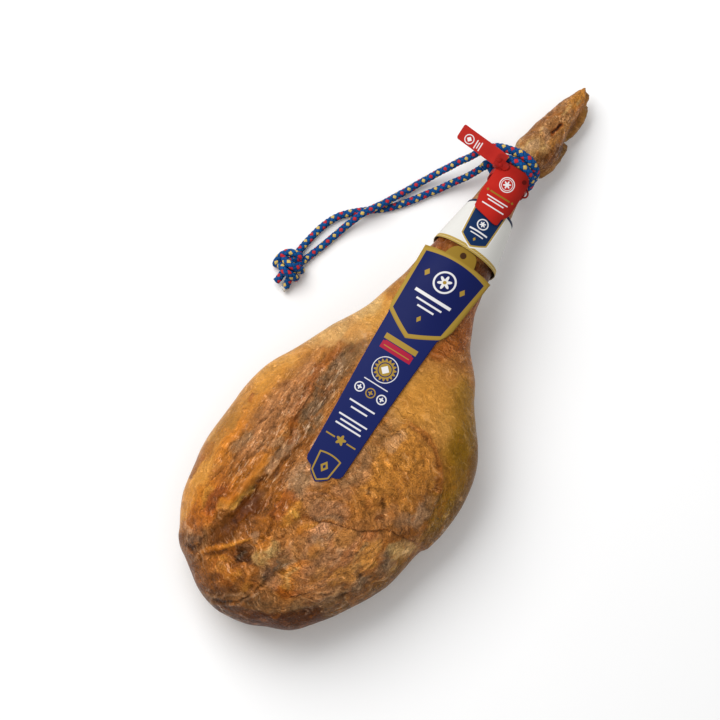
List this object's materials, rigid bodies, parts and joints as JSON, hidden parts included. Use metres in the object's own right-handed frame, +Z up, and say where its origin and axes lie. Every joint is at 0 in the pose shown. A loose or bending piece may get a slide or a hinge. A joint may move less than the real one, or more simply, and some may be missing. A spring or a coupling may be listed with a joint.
{
  "type": "cured ham",
  "caption": "Whole cured ham with its trotter, lying meat side up, with a long label card, a paper cone and a red seal on the shank, and a braided rope sling ending in a knot.",
  "frame": {"origin": "middle of the length and width of the ham with what is fixed to it, on the surface that it lies on", "axes": "+X along the leg towards the trotter, +Z up out of the meat face, +Y to the side that the free rope lies on"},
  "size_m": [0.76, 0.3429, 0.1333],
  "materials": {
    "cured_meat": "greasy satin",
    "white_paper": "satin",
    "navy_card": "satin print",
    "red_plastic": "glossy",
    "rope_blue": "matte braid"
  },
  "bodies": {
    "root": {"ham": "cured_meat", "paper_cone": "white_paper", "label_card": "navy_card", "seal": "red_plastic", "rope_wrap": "rope_blue", "rope_strand_a": "rope_blue", "rope_strand_b": "rope_blue", "rope_knot": "rope_blue"}
  },
  "joints": []
}
